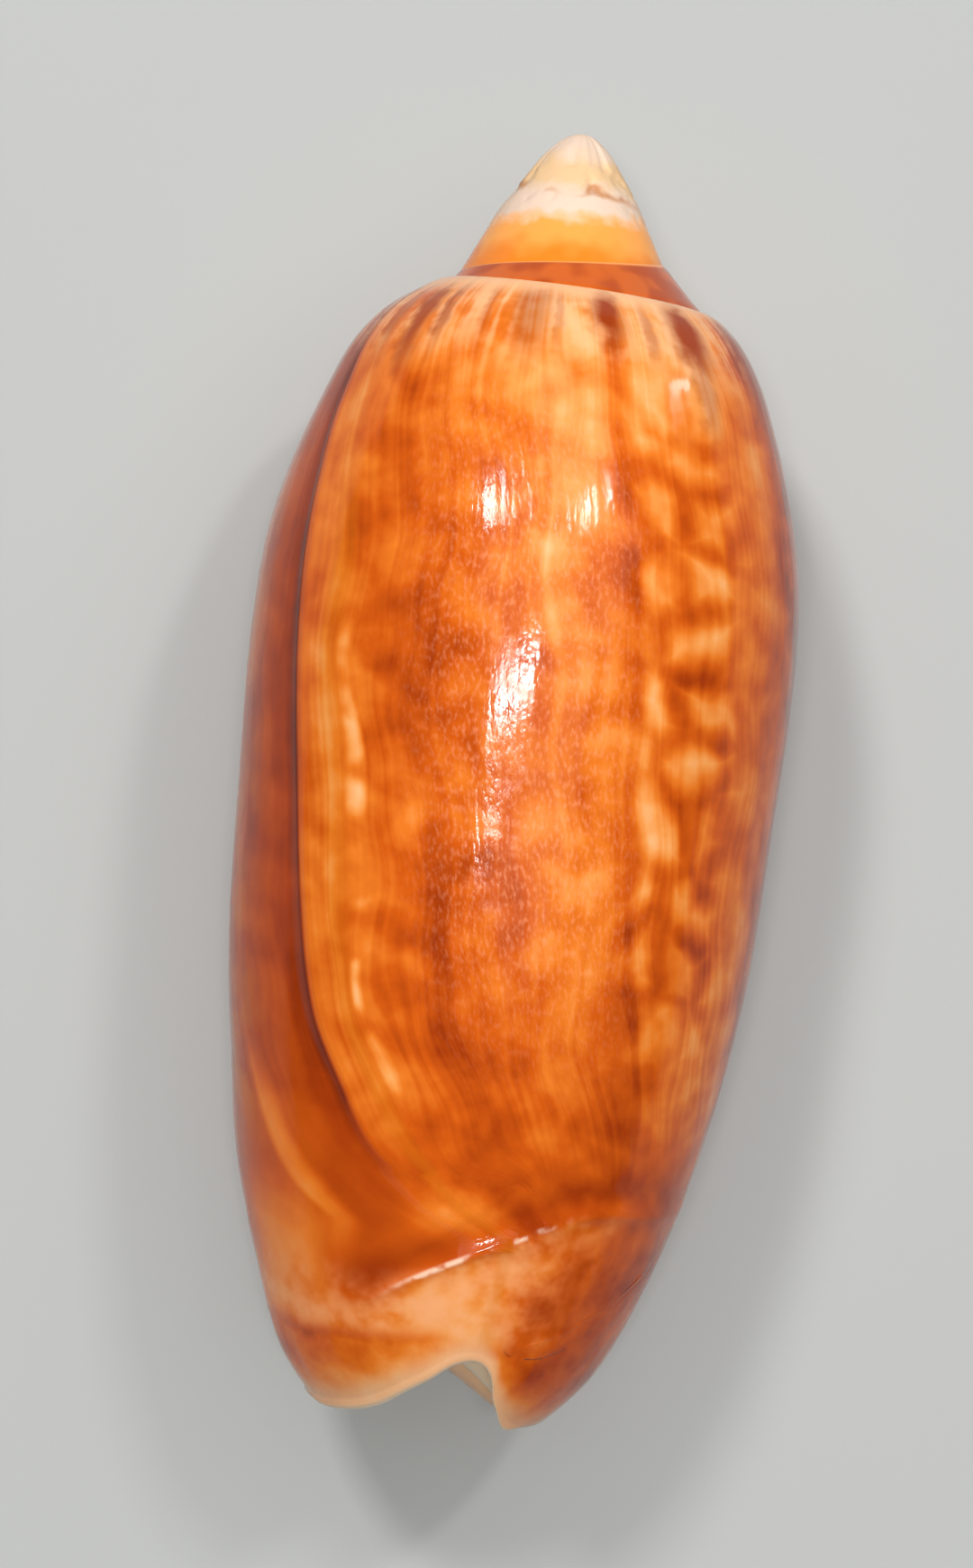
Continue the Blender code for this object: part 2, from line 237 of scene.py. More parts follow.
def knot(angle, index):
    """Radius and height of a whorl's profile from its shoulder edge to the groove below."""
    if index < 0:
        return knot(angle - TURN, index + KNOTS + 1)
    if index > KNOTS:
        return knot(angle + TURN, index - KNOTS - 1)
    radius, height = shoulder_edge(angle)
    if index == 0:
        opening = groove_open(angle)
        return radius - RIM_HALF * opening, height + RIM_HALF * opening
    if index == 1:
        return radius, height
    old = between_turns(angle, index)
    new_start = radius + RIM_OUT, height + RIM_DOWN
    drop = new_start[1] + BAND_HEIGHT * (index - 2) / (KNOTS - 2)
    new = eased_in(angle, drop, new_start), drop
    return mix(old, new, ease(MOUTH, MOUTH + WHORL_SETTLES, angle))


def profile(angle, place):
    """The whorl's profile as a smooth line through its knots."""
    index = min(int(place), KNOTS)
    share = place - index
    near = [Vector(knot(angle, index + k)) for k in (-1, 0, 1, 2)]
    if share < 1e-6:
        return tuple(near[1])
    gaps = [max((near[k + 1] - near[k]).length, 1e-4) for k in range(3)]
    slopes = [(near[k + 1] - near[k]) / gaps[k] for k in range(3)]
    start = (slopes[0] * gaps[1] + slopes[1] * gaps[0]) / (gaps[0] + gaps[1]) * gaps[1]
    end = (slopes[1] * gaps[2] + slopes[2] * gaps[1]) / (gaps[1] + gaps[2]) * gaps[1]
    t = share
    spot = (near[1] * (2 * t ** 3 - 3 * t ** 2 + 1) + start * (t ** 3 - 2 * t ** 2 + t)
            + near[2] * (3 * t ** 2 - 2 * t ** 3) + end * (t ** 3 - t ** 2))
    return tuple(spot)


def growth_line(grown, height):
    """Angle at which the growth line that leaves the shoulder at grown crosses a height."""
    rest = along(REST_LINE, height) - REST_START
    rest = REST_START + rest * (1 - ease(*LINES_STRAIGHTEN, height))
    if grown < REST_START:
        return MOUTH + (grown - MOUTH) * (rest - MOUTH) / (REST_START - MOUTH)
    return LIP - (LIP - grown) * (LIP - rest) / (LIP - REST_START)


def ridge(angle, height):
    """Rise of the ridge round the front end, and of the valley on its spire side."""
    off = (height - along(RIDGE, angle)) / RIDGE_WIDTH
    rise = along(RIDGE_RISE, angle)
    valley = VALLEY_SHARE * math.exp(-((off + VALLEY_AT) / VALLEY_WIDTH) ** 2)
    return rise * (math.exp(-abs(off)) - valley)


def folds(height, off):
    """Slanting folds on the pillar's edge; off is in degrees from the edge towards the belly."""
    wave = math.sin(math.tau * (height + FOLD_SLANT * off) / FOLD_STEP)
    reach = ease(*FOLDS_START, height) * (1 - ease(*FOLDS_END, height))
    reach *= 1 - ease(*FOLDS_FADE, abs(off))
    return FOLD_RISE * reach * wave


def relief(grown, height):
    """Growth waves, and the step down where growth rested and began again."""
    after = grown - REST_START
    waves = LONG_WAVE * noise.noise(Vector((grown * 0.16, height * 0.03, 1.5)))
    waves += SHORT_WAVE * noise.noise(Vector((grown * 0.55, height * 0.05, 4.5)))
    step = 0.0
    if 0 < after < REST_REACH:
        step = -REST_DROP * (1 - after / REST_REACH) ** 2 * ease(*REST_EDGE, after)
    elif after <= 0:
        step = REST_LIP * math.exp(after / REST_LIP_REACH)
    fade = ease(*RELIEF_STARTS, height) * (1 - ease(*RELIEF_ENDS, height))
    return (step * fade + waves) * ease(*RELIEF_GROWS, grown)


def fullness(angle, height):
    """Extra radius of the newest growth, on the left towards the front end."""
    side = angle % TURN
    return along(FULLER_LEFT, height) * ease(*FULLER_FROM, side) * (1 - ease(*FULLER_FADES, side))


def ray_from_pillar(angle, height):
    radius = along(BODY, height) + fullness(angle, height)
    pillar = Vector((along(AXIS_X, height), -height, along(AXIS_Z, height)))
    return pillar, point(angle, radius, height) - pillar


def on_ray(angle, height, depth):
    """Point that lies a depth under the last whorl, towards the inner pillar."""
    pillar, ray = ray_from_pillar(angle, height)
    depth = min(depth, ray.length * INNERMOST)
    return pillar + ray - ray.normalized() * depth


def swept(angle, down):
    """Growth angle after the lip's edge curves back towards the front end."""
    sweep = along(LIP_SWEEP, down)
    if angle > SWEEP_STARTS:
        reach = (angle - SWEEP_STARTS) / (LIP - SWEEP_STARTS)
        return SWEEP_STARTS + (sweep - SWEEP_STARTS) * reach
    if angle < RIGHT_SIDE:
        reach = (angle - RIGHT_SIDE) / (MOUTH - RIGHT_SIDE)
        return RIGHT_SIDE + (sweep - TURN - RIGHT_SIDE) * reach
    return angle


def level(front, down):
    return MOUTH_TOP + (front - FRONT_RIM - MOUTH_TOP) * down


def mouth_gap(share, down):
    """Width of the mouth's hollow, from its deep end (share 0) to the lip (share 1)."""
    degrees_in = (1 - share) * HOLLOW_DEGREES
    wide = HOLLOW_WIDENING * (1 - down) * min(down / WIDENS_BELOW, 1.0)
    wide *= 1 - math.exp(-degrees_in / WIDENS_OVER)
    closed = max(0.0, 1 - share / HOLLOW_ROUND)
    return (along(GAP, down) + wide) * math.sqrt(1 - closed ** 2)


def lip_flare(angle, height, down):
    wanted = -FLOOR / -math.cos(math.radians(LIP)) - along(BODY, height)
    size = min(max(wanted, 0.0), LIP_FLARE)
    reach = ease(FLARE_FROM, LIP, angle) * ease(*FLARE_STARTS, down)
    return size * reach * (1 - ease(*FLARE_ENDS, down))


def outer(angle, down, grown=None):
    """Outside of the last whorl beside the mouth."""
    grown = angle if grown is None else grown
    where = swept(angle, down)
    height = level(along(FRONT_EDGE, swept(angle, 1.0)), down)
    mouth = along(LIP_SWEEP, down) - TURN
    under = min(max((RIGHT_SIDE - where) / (RIGHT_SIDE - mouth), 0.0), 1.0)
    depth = (along(WALL, height) + mouth_gap(1.0, down)) * under ** 3
    edge_fade = 1 - ease(*RELIEF_STOPS, down)
    raised = lip_flare(angle, height, down) + folds(height, where - mouth)
    crest = ridge(where, height) * ease(*RIDGE_STARTS, where - mouth)
    raised += (relief(grown, height) + crest) * edge_fade
    return on_ray(where, height, depth - raised)


def hollow_angle(share, down):
    deep = along(DEEP_END, down)
    return deep + (LIP - deep) * share


def inner(share, down):
    """Inside of the outer wall, from the hollow's deep end to the lip."""
    angle = hollow_angle(share, down)
    height = level(along(FRONT_EDGE, swept(hollow_angle(share, 1.0), 1.0)), down)
    return on_ray(swept(angle, down), height, along(WALL, height))


def pillar_side(share, down):
    """The wall that faces the outer wall across the hollow, from the deep end to the lip."""
    angle = swept(hollow_angle(share, down), down)
    deep, near = along(FRONT_EDGE, DEEP_END[-1][1]), FRONT_EDGE[0][1]
    height = level(near + (deep - near) * (1 - share) ** PILLAR_END_POWER, down)
    wall = along(WALL, height)
    pillar, ray = ray_from_pillar(angle, height)
    room = ray.length - wall
    gap = mouth_gap(share, down)
    if share < 1:
        gap = min(gap, room * GAP_SHARE)
    return on_ray(angle, height, wall + gap - folds(height, (share - 1) * (LIP - FRONT_START)))


def row_down(row):
    """Share of the way down the mouth, with closer rows towards the front end."""
    t = row / MOUTH_ROWS
    return t * (1 + ROW_CROWDING * (1 - t))


def last_whorl(angle, row, grown=None):
    """Outside of the last whorl in rows: shoulder, neck above the mouth, then the mouth's rows."""
    grown = angle if grown is None else grown
    top_rows = KNOTS * KNOT_STEPS
    if row <= top_rows:
        radius, height = profile(angle, row / KNOT_STEPS)
    elif row <= top_rows + NECK_ROWS:
        start = knot(angle, KNOTS)
        height = start[1] + (MOUTH_TOP - start[1]) * (row - top_rows) / NECK_ROWS
        radius = eased_in(angle, height, start)
    else:
        return outer(angle, row_down(row - top_rows - NECK_ROWS), grown)
    radius += relief(grown, height)
    return point(angle, radius, height)


def rounded(outside, inside, way, share):
    """Point on a half-round edge from the outside of the wall to its inside."""
    middle = (outside + inside) / 2
    half = (outside - inside) / 2
    turn = math.pi * share
    return middle + half * math.cos(turn) + way * half.length * EDGE_ROUNDNESS * math.sin(turn)


def edge_way(share, down):
    """Direction in which the free edge of the wall faces, shorter where it joins the pillar."""
    angle = math.radians(swept(hollow_angle(share, down), down))
    along_growth = Vector((-math.cos(angle), 0, -math.sin(angle)))
    to_front = Vector((0, -1, 0))
    corner_row = ease(*CORNER_ROWS, down)
    corner_column = ease(*CORNER_COLUMNS, share)
    way = along_growth * corner_column * (2 - corner_row)
    way += to_front * corner_row * (2 - corner_column)
    bulge = 1 - corner_row * (1 - ease(*BULGE_STARTS, share))
    return way.normalized() * bulge


def growth_mark(angle, height):
    """The growth line that passes a place, named by its angle at the shoulder."""
    rest = along(REST_LINE, height)
    if angle < rest:
        return MOUTH + (angle - MOUTH) * (REST_START - MOUTH) / (rest - MOUTH)
    return LIP - (LIP - angle) * (LIP - REST_START) / (LIP - rest)


def sheet(name, glaze, columns, rows, place):
    """A grid laid on the surface place(u, v), which gives a spot and the marks that colour it.

    The marks are the growth angle, the row counted in knots, 0 outside to 1 on the lining,
    and the distances below the ridge and above the front edge.
    """
    bpy.ops.object.select_all(action="DESELECT")
    bpy.ops.mesh.primitive_grid_add(x_subdivisions=columns, y_subdivisions=rows, size=2.0)
    grid = bpy.context.object
    grid.name = name
    mesh = grid.data
    mesh.materials.append(glaze)
    marks = []
    for vertex in mesh.vertices:
        u = round((vertex.co.x + 1) / 2 * columns) / columns
        v = round((vertex.co.y + 1) / 2 * rows) / rows
        spot, *mark = place(u, v)
        marks.append((-spot.y, *mark))
        spot.z = max(spot.z, FLOOR)
        vertex.co = spot * MM
    while mesh.uv_layers:
        mesh.uv_layers.remove(mesh.uv_layers[0])
    mesh.uv_layers.new(name="growth")
    mesh.uv_layers.new(name="profile")
    mesh.uv_layers.new(name="front")
    lines, rings, ends = mesh.uv_layers
    for loop in mesh.loops:
        height, grown, ring, lining, below, rim = marks[loop.vertex_index]
        lines.uv[loop.index].vector = (grown / TURN, height / LENGTH)
        rings.uv[loop.index].vector = (ring / MARK_UNIT, lining)
        ends.uv[loop.index].vector = (below / MARK_UNIT, rim / MARK_UNIT)
    return grid


spire_start = MOUTH - SPIRE_TURNS * TURN
spire_rows = (KNOTS + 1) * KNOT_STEPS


def eaten(spot):
    """The spire's chalky end is worn, more in some places than in others."""
    depth = noise.noise(spot * 0.8) + 0.6 * noise.noise(spot * 2.0 + Vector((7, 7, 7)))
    depth = WEAR_DEPTH * max(depth, 0.0) * (1 - ease(*WEAR_FADES, -spot.y))
    left = 1 - depth / max(math.hypot(spot.x, spot.z), 0.8)
    return Vector((spot.x * left, spot.y, spot.z * left))


def spire_strip(u, v):
    angle = spire_start + SPIRE_TURNS * TURN * u
    ring = v * (KNOTS + 1)
    radius, height = profile(angle, ring)
    return eaten(point(angle, radius, height)), angle, ring, 0.0, AWAY, -AWAY


def apex(edge, v):
    reach = 1 - v
    return Vector((edge.x * reach, edge.y * reach ** APEX_BLUNTNESS, edge.z * reach))


def apex_turn(u, v):
    edge, *marks = spire_strip(u / SPIRE_TURNS, 0)
    return apex(edge, v), *marks


def apex_start(u, v):
    edge, *marks = spire_strip(0, u)
    return apex(edge, v), *marks


def whorl_sheet(u, v):
    """The last whorl, with its columns laid along the growth lines."""
    grown = MOUTH + TURN * u
    row = round(v * whorl_rows)
    angle = growth_line(grown, -last_whorl(grown, row).y)
    for _ in range(2):
        height = -last_whorl(angle, row).y
        angle += (growth_line(grown, height) - angle) * (1 - ease(*LINES_SETTLE, height))
    spot = last_whorl(angle, row, grown)
    down = row_down(max(row - lip_start_rows, 0))
    below = -spot.y - along(RIDGE, swept(angle, down))
    rim = along(FRONT_EDGE, swept(angle, 1.0)) - FRONT_RIM + spot.y
    if -spot.y > LINES_BY_PLACE_BELOW:
        grown = growth_mark(angle, -spot.y)
    return spot, grown, min(row / KNOT_STEPS, PAST_RINGS), 0.0, below, rim


def lining_sheet(u, v):
    down = row_down(v * MOUTH_ROWS)
    return inner(u, down), hollow_angle(u, down), PAST_RINGS, 1.0, AWAY, -AWAY


def pillar_sheet(u, v):
    down = row_down(v * MOUTH_ROWS)
    return pillar_side(u, down), hollow_angle(u, down) - TURN, PAST_RINGS, 0.5, AWAY, -AWAY


def lip_edge(u, v):
    down = row_down(u * MOUTH_ROWS)
    spot = rounded(outer(LIP, down), inner(1.0, down), edge_way(1.0, down), v)
    return spot, LIP, PAST_RINGS, v, AWAY, -AWAY


def front_edge(u, v):
    angle = FRONT_START + (LIP - FRONT_START) * u
    spot = rounded(outer(angle, 1.0), inner(u, 1.0), edge_way(u, 1.0), v)
    return spot, angle, PAST_RINGS, v, -AWAY, 0.0


def lip_start(u, v):
    row = round(u * lip_start_rows)
    outside = last_whorl(LIP, row)
    inside = last_whorl(MOUTH, max(row, KNOTS * KNOT_STEPS))
    spot = rounded(outside, inside, edge_way(1.0, 0.0), v)
    if row == 0:
        spot = inside if v == 1 else outside
    return spot, LIP, row / KNOT_STEPS, v, AWAY, -AWAY


pillar_tip = Vector((3.9, -59.95, -0.9))


def pillar_cap(edge, v, full):
    """Point between an edge and the pillar's tip, hollow where full is 0 and rounded where 1."""
    turn = v * math.pi / 2
    spot = edge.lerp(pillar_tip, v)
    rise = (1 - math.cos(turn)) * (1 - full) + math.sin(turn) * full
    spot.y = edge.y + (pillar_tip.y - edge.y) * rise
    return spot


def cap_outside(u, v):
    angle = MOUTH + (FRONT_START - MOUTH) * u
    spot = pillar_cap(outer(angle, 1.0), v, ease(MOUTH, MOUTH + TIP_ROUNDS, angle))
    return spot, angle, PAST_RINGS, 0.0, -AWAY, 0.0


def cap_inside(u, v):
    spot = pillar_cap(pillar_side(u, 1.0), v, 0.0)
    return spot, hollow_angle(u, 1.0) - TURN, PAST_RINGS, 0.5, -AWAY, 0.0


def cap_edge(u, v):
    edge = rounded(outer(FRONT_START, 1.0), inner(0.0, 1.0), edge_way(0.0, 1.0), u)
    return pillar_cap(edge, v, 1 - u), FRONT_START, PAST_RINGS, u, -AWAY, 0.0


whorl_rows = KNOTS * KNOT_STEPS + NECK_ROWS + MOUTH_ROWS
lip_start_rows = KNOTS * KNOT_STEPS + NECK_ROWS
turn_columns = round(TURN / COLUMN)
front_columns = round((LIP - FRONT_START) / COLUMN)
cap_columns = round((FRONT_START - MOUTH) / COLUMN)

spire_glaze = bpy.data.materials.new("spire_glaze")
body_glaze = bpy.data.materials.new("body_glaze")
mouth_glaze = bpy.data.materials.new("mouth_glaze")
sheets = [
    sheet("spire", spire_glaze, SPIRE_TURNS * turn_columns, spire_rows, spire_strip),
    sheet("apex_turn", spire_glaze, turn_columns, EDGE_ROWS, apex_turn),
    sheet("apex_start", spire_glaze, spire_rows, EDGE_ROWS, apex_start),
    sheet("whorl", body_glaze, turn_columns, whorl_rows, whorl_sheet),
    sheet("lining", mouth_glaze, front_columns, MOUTH_ROWS, lining_sheet),
    sheet("pillar", mouth_glaze, front_columns, MOUTH_ROWS, pillar_sheet),
    sheet("lip_start", body_glaze, lip_start_rows, EDGE_ROWS, lip_start),
    sheet("lip_edge", body_glaze, MOUTH_ROWS, EDGE_ROWS, lip_edge),
    sheet("front_edge", body_glaze, front_columns, EDGE_ROWS, front_edge),
    sheet("cap_outside", body_glaze, cap_columns, EDGE_ROWS, cap_outside),
    sheet("cap_inside", mouth_glaze, front_columns, EDGE_ROWS, cap_inside),
    sheet("cap_edge", body_glaze, EDGE_ROWS, EDGE_ROWS, cap_edge),
]
bpy.ops.object.select_all(action="DESELECT")
for part in sheets:
    part.select_set(True)
bpy.context.view_layer.objects.active = sheets[0]
bpy.ops.object.join()
shell = bpy.context.object
shell.name = "olive_shell"
bpy.ops.object.mode_set(mode="EDIT")
bpy.ops.mesh.select_all(action="SELECT")
bpy.ops.mesh.remove_doubles(threshold=WELD * MM)
bpy.ops.mesh.normals_make_consistent(inside=False)
bpy.ops.object.mode_set(mode="OBJECT")
shell.data.shade_smooth()

cad_low, cad_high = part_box("shell")
low = Vector(min(vertex.co[axis] for vertex in shell.data.vertices) for axis in range(3))
high = Vector(max(vertex.co[axis] for vertex in shell.data.vertices) for axis in range(3))
fit = min((cad_high[axis] - cad_low[axis]) / (high[axis] - low[axis]) for axis in range(3))
fit = min(fit, 1.0)
middle = (low + high) / 2
target = (Vector(cad_low) + Vector(cad_high)) / 2
for vertex in shell.data.vertices:
    spot = (vertex.co - middle) * fit
    up = (vertex.co.z - low.z) * fit + cad_low[2]
    vertex.co = Vector((spot.x + target.x, spot.y + target.y, up))


# The glaze is orange lime laid down in bands along the growth lines: rust to peach by its tone.
# Brown flames hang from the shoulder, the worn spire is chalk and callus, and the mouth is cream.
class Shade:
    """One value or colour in a glaze's node tree; arithmetic on it adds Math nodes."""

    tree = None

    def __init__(self, socket):
        self.socket = socket

    @classmethod
    def node(cls, kind, settings=None, inputs=None, output=0):
        made = cls.tree.nodes.new("ShaderNode" + kind)
        for name, value in (settings or {}).items():
            if name == "stops":
                cls.fill_ramp(made.color_ramp, value)
            else:
                setattr(made, name, value)
        for name, value in (inputs or {}).items():
            if isinstance(value, Shade):
                cls.tree.links.new(value.socket, made.inputs[name])
            else:
                made.inputs[name].default_value = value
        return cls(made.outputs[output])

    @staticmethod
    def fill_ramp(ramp, stops):
        while len(ramp.elements) < len(stops):
            ramp.elements.new(1.0)
        for element, (position, colour) in zip(ramp.elements, stops):
            element.position = position
            element.color = colour

    @classmethod
    def maths(cls, operation, first, second):
        return cls.node("Math", {"operation": operation}, {0: first, 1: second})

    def __add__(self, other):
        return self.maths("ADD", self, other)

    def __radd__(self, other):
        return self.maths("ADD", other, self)

    def __sub__(self, other):
        return self.maths("SUBTRACT", self, other)

    def __rsub__(self, other):
        return self.maths("SUBTRACT", other, self)

    def __mul__(self, other):
        return self.maths("MULTIPLY", self, other)

    def __rmul__(self, other):
        return self.maths("MULTIPLY", other, self)

    def __truediv__(self, other):
        return self.maths("DIVIDE", self, other)

    def __abs__(self):
        return self.node("Math", {"operation": "ABSOLUTE"}, {0: self})


def screen(red, green, blue):
    """Scene colour of a screen colour in parts of 255."""
    return tuple(((part / 255 + 0.055) / 1.055) ** 2.4 for part in (red, green, blue)) + (1.0,)


def blend(first, second, share):
    return Shade.node("Mix", {"data_type": "RGBA"}, {0: share, 6: first, 7: second}, 2)


def rise(value, low, high):
    """0 below low, 1 above high, and a smooth rise between them."""
    settings = {"interpolation_type": "SMOOTHSTEP"}
    return Shade.node("MapRange", settings, {"Value": value, "From Min": low, "From Max": high})


def within(value, low, high, soft):
    return rise(value, low - soft, low + soft) * (1 - rise(value, high - soft, high + soft))


def streaks(across, down, seed, detail=1.0):
    """Noise over two distances, each counted in grains."""
    spot = Shade.node("CombineXYZ", {}, {0: across, 1: down, 2: seed})
    return Shade.node("TexNoise", {}, {"Vector": spot, "Scale": 1.0, "Detail": detail})


def clouds(size, seed, detail=1.0):
    """Noise in the shell's own space, with grains of a size in millimetres."""
    scale = (1 / (size * MM),) * 3
    spot = Shade.node("TexCoord", output=3)
    settings = {"operation": "MULTIPLY_ADD"}
    spot = Shade.node("VectorMath", settings, {0: spot, 1: scale, 2: (seed, 0, -seed)})
    return Shade.node("TexNoise", {}, {"Vector": spot, "Scale": 1.0, "Detail": detail})


def marks_of(name, first_unit, second_unit):
    uv = Shade.node("UVMap", {"uv_map": name})
    first, second = (Shade.node("SeparateXYZ", {}, {0: uv}, axis) for axis in (0, 1))
    return first * first_unit, second * second_unit


def start_glaze(material):
    """Nodes made from here on belong to this material."""
    material.use_nodes = True
    Shade.tree = material.node_tree


def finish_glaze(colour, roughness, raised):
    """Connect a glaze: its colour, roughness and the height of its fine relief in millimetres."""
    shader = Shade.tree.nodes["Principled BSDF"]
    bump = Shade.node("Bump", {}, {"Strength": 1.0, "Distance": MM, "Height": raised})
    shader.inputs["Specular IOR Level"].default_value = SPECULAR_LEVEL
    for name, value in (("Base Color", colour), ("Roughness", roughness), ("Normal", bump)):
        Shade.tree.links.new(value.socket, shader.inputs[name])


SPECULAR_LEVEL = 0.22
# Tones of the outside, from the darkest rust to the palest peach, and the colours beside them
TONES = ((0.0, screen(104, 28, 4)), (0.2, screen(160, 56, 6)), (0.4, screen(202, 86, 14)),
         (0.58, screen(226, 118, 34)), (0.76, screen(238, 152, 76)), (1.0, screen(246, 192, 138)))
PEACH = screen(240, 164, 112)
FLAME_BROWN = screen(154, 58, 18)
SALMON_SHEEN = screen(250, 165, 120)
CREST_WEAR_AND_GLINT = screen(255, 220, 190)
OCHRE = screen(204, 116, 18)
SHOULDER_PEACH = screen(244, 184, 134)
RIM_CREAM = screen(236, 186, 142)
MOUTH_CREAM = screen(240, 214, 180)
CALLUS_ORANGE = screen(246, 162, 76)
CALLUS_AMBER = screen(234, 130, 36)
CHALK = screen(228, 200, 178)
CHALK_TAN = screen(228, 186, 132)
SEAM_BROWN = screen(186, 118, 62)
BAND_BROWN = screen(204, 94, 26)
BAND_SHADE = screen(178, 72, 18)
GROOVE_BROWN = screen(92, 30, 8)

# Tone of the bands by growth angle, from the pillar's callus round the right side and the back
# to the rest line and the lip. The deep dip at the rest line and the dark strip just past it
# are partly dark rust and partly painted shade of the step where growth rested.
BANDS = ((-210, 0.98), (-165, 0.62), (-130, 0.42), (-95, 0.32), (-74, 0.24), (-60, 0.4),
         (-52, 0.52), (-46, 0.52), (-36, 0.58), (-26, 0.62), (-17, 0.62), (-14, 0.38), (-9, 0.54),
         (2, 0.6), (10, 0.54), (30, 0.4), (38, 0.42), (45, 0.46), (48.5, 0.56),
         (52, 0.48), (55, 0.6), (64, 0.5), (65.6, 0.42), (66.3, 0.0), (69, 0.1),
         (78, 0.28), (88, 0.34), (100, 0.22), (120, 0.36), (150, 0.66))

start_glaze(body_glaze)
grown, height = marks_of("growth", TURN, LENGTH)
_, lining = marks_of("profile", MARK_UNIT, 1)
below, rim = marks_of("front", MARK_UNIT, MARK_UNIT)
cloud = clouds(3.6, 12.0, 2.0)
speck = clouds(1.1, 20.0, 2.0)
away_from_rest = rise(grown, REST_START, REST_START - 12)
away_from_rest = away_from_rest + rise(grown, REST_START, REST_START + 10)
line = grown + (streaks(grown * 0.05, height * 0.13, 3.0) - 0.5) * 14 * away_from_rest
stops = [((angle - MOUTH) / TURN, (band, band, band, 1.0)) for angle, band in BANDS]
bands = Shade.node("ValToRGB", {"stops": stops}, {0: (line - MOUTH) / TURN})
frontal = 1 - rise(height, 43.5, 49.5)
tone = 0.36 + (bands - 0.36) * frontal

# Streaks along the growth lines, clouds across them, and a net of soft dark lines on the right
calm = (1 - rise(grown, 58, 68) * 0.6) * (0.7 + frontal * 0.3)
broad = streaks(line * 0.13, height * 0.045, 5.0, 2.0)
fine = streaks(line * 0.5, height * 0.06, 7.0)
tone = tone + (broad - 0.5) * 0.34 * (0.2 + frontal * 0.8) + (fine - 0.5) * 0.26 * calm * frontal
tone = tone + (cloud - 0.5) * 0.6 * calm + (speck - 0.5) * 0.26 * calm
net_spot = {0: (line + cloud * 10) / 19, 1: (height + cloud * 2) / 2.9}
net_spot = Shade.node("CombineXYZ", {}, net_spot)
net_settings = {"feature": "DISTANCE_TO_EDGE", "voronoi_dimensions": "2D"}
net = Shade.node("TexVoronoi", net_settings, {"Vector": net_spot, "Scale": 1.0, "Randomness": 0.9})
tents = within(line, -44, -15, 5) * within(height, 14, 41, 5)
tone = tone + (rise(net, 0.0, 0.42) - 0.6) * (tents * 0.26 + calm * 0.12)
bead = rise(streaks(line * 0.05, height * 0.4, 8.0), 0.42, 0.6) * within(height, 24, 45, 2)
tone = tone + within(line, 47.6, 50.6, 1.2) * bead * 0.34
tone = tone + within(line, 83.0, 87.0, 1.5) * within(height, 44, 51, 2) * 0.24

# The back is paler under the shoulder and deep rust towards the front, and pitted in the middle
pitted = within(grown, -12, 30, 13) * within(height, 14, 40, 6)
tone = tone + (1 - rise(height, 9, 19)) * 0.24 * (1 - rise(abs(grown), 40, 75))
tone = tone - within(height, 39, 50, 5) * within(grown, -40, 44, 12) * 0.08
fleck = streaks(grown * 1.2, height * 2.6, 9.0, 2.0)

# The front end: a pale patch under the ridge with a soft pale cloud on its left, rust on the
# right and a cream rim
spot_on_shell = Shade.node("TexCoord", output=3)
x, z = (Shade.node("SeparateXYZ", {}, {0: spot_on_shell}, axis) for axis in (0, 2))
side = Shade.maths("ARCTAN2", 0 - x, z + FLOOR * MM) * math.degrees(1)
softness = rise(side, 0, 38)
front = rise(below, -0.25 - softness * 2.2, 0.5 + softness * 2.4)
edge_wave = (cloud - 0.5) * 5 + (speck - 0.5) * 1.5
on_left = within(side + (cloud - 0.5) * 60, -26, 96, 22)
wavy_height = height + edge_wave * 0.35
pale = on_left * (1 - rise(wavy_height, 54.8, 56.2))
tone = tone + within(height + speck, 49.2, 51.2, 0.9) * within(side, -12, 10, 9) * 0.26
tone = tone - within(side, 16, 40, 8) * (1 - frontal) * 0.08
tone = tone + within(wavy_height, 50.2, 55.6, 1.5) * within(side, 36, 70, 12) * 0.26
front_tone = 0.33 + (cloud - 0.5) * 0.6 + (speck - 0.5) * 0.36 + on_left * 0.12 + pale * 0.24
front_tone = front_tone - within(wavy_height, 55.6, 56.0, 0.4) * on_left * 0.14
front_tone = front_tone + (1 - rise(rim, 0.1, 2.4)) * 0.26 + (1 - rise(grown, -205, -120)) * 0.6
tone = tone + (front_tone - tone) * front
# Darker in the valley just above the ridge on its spire side: painted shade.
tone = tone - within(below, -1.8, -0.3, 0.7) * within(side, -40, 30, 12) * 0.1

body = Shade.node("ValToRGB", {"stops": TONES}, {0: tone})
body = blend(body, PEACH, front * pale * rise(speck, 0.3, 0.7) * 0.7)
# Salmon flecks over the pitted middle of the back are painted sheen, the pits catching the light.
body = blend(body, SALMON_SHEEN, rise(fleck, 0.44, 0.74) * pitted * 0.36)
body = blend(body, OCHRE, within(line, 51, 57, 2) * 0.22 * rise(height, 12, 20))
body = blend(body, OCHRE, within(line, 84, 112, 6) * rise(cloud, 0.42, 0.62) * frontal * 0.5)
# A thin broken pale line on the ridge's crest: partly a worn paler crest, partly a painted
# highlight.
crest = within(below, -0.12, 0.14, 0.12) * within(side, -24, 14, 8) * rise(speck, 0.4, 0.55)
body = blend(body, CREST_WEAR_AND_GLINT, crest * 0.8)

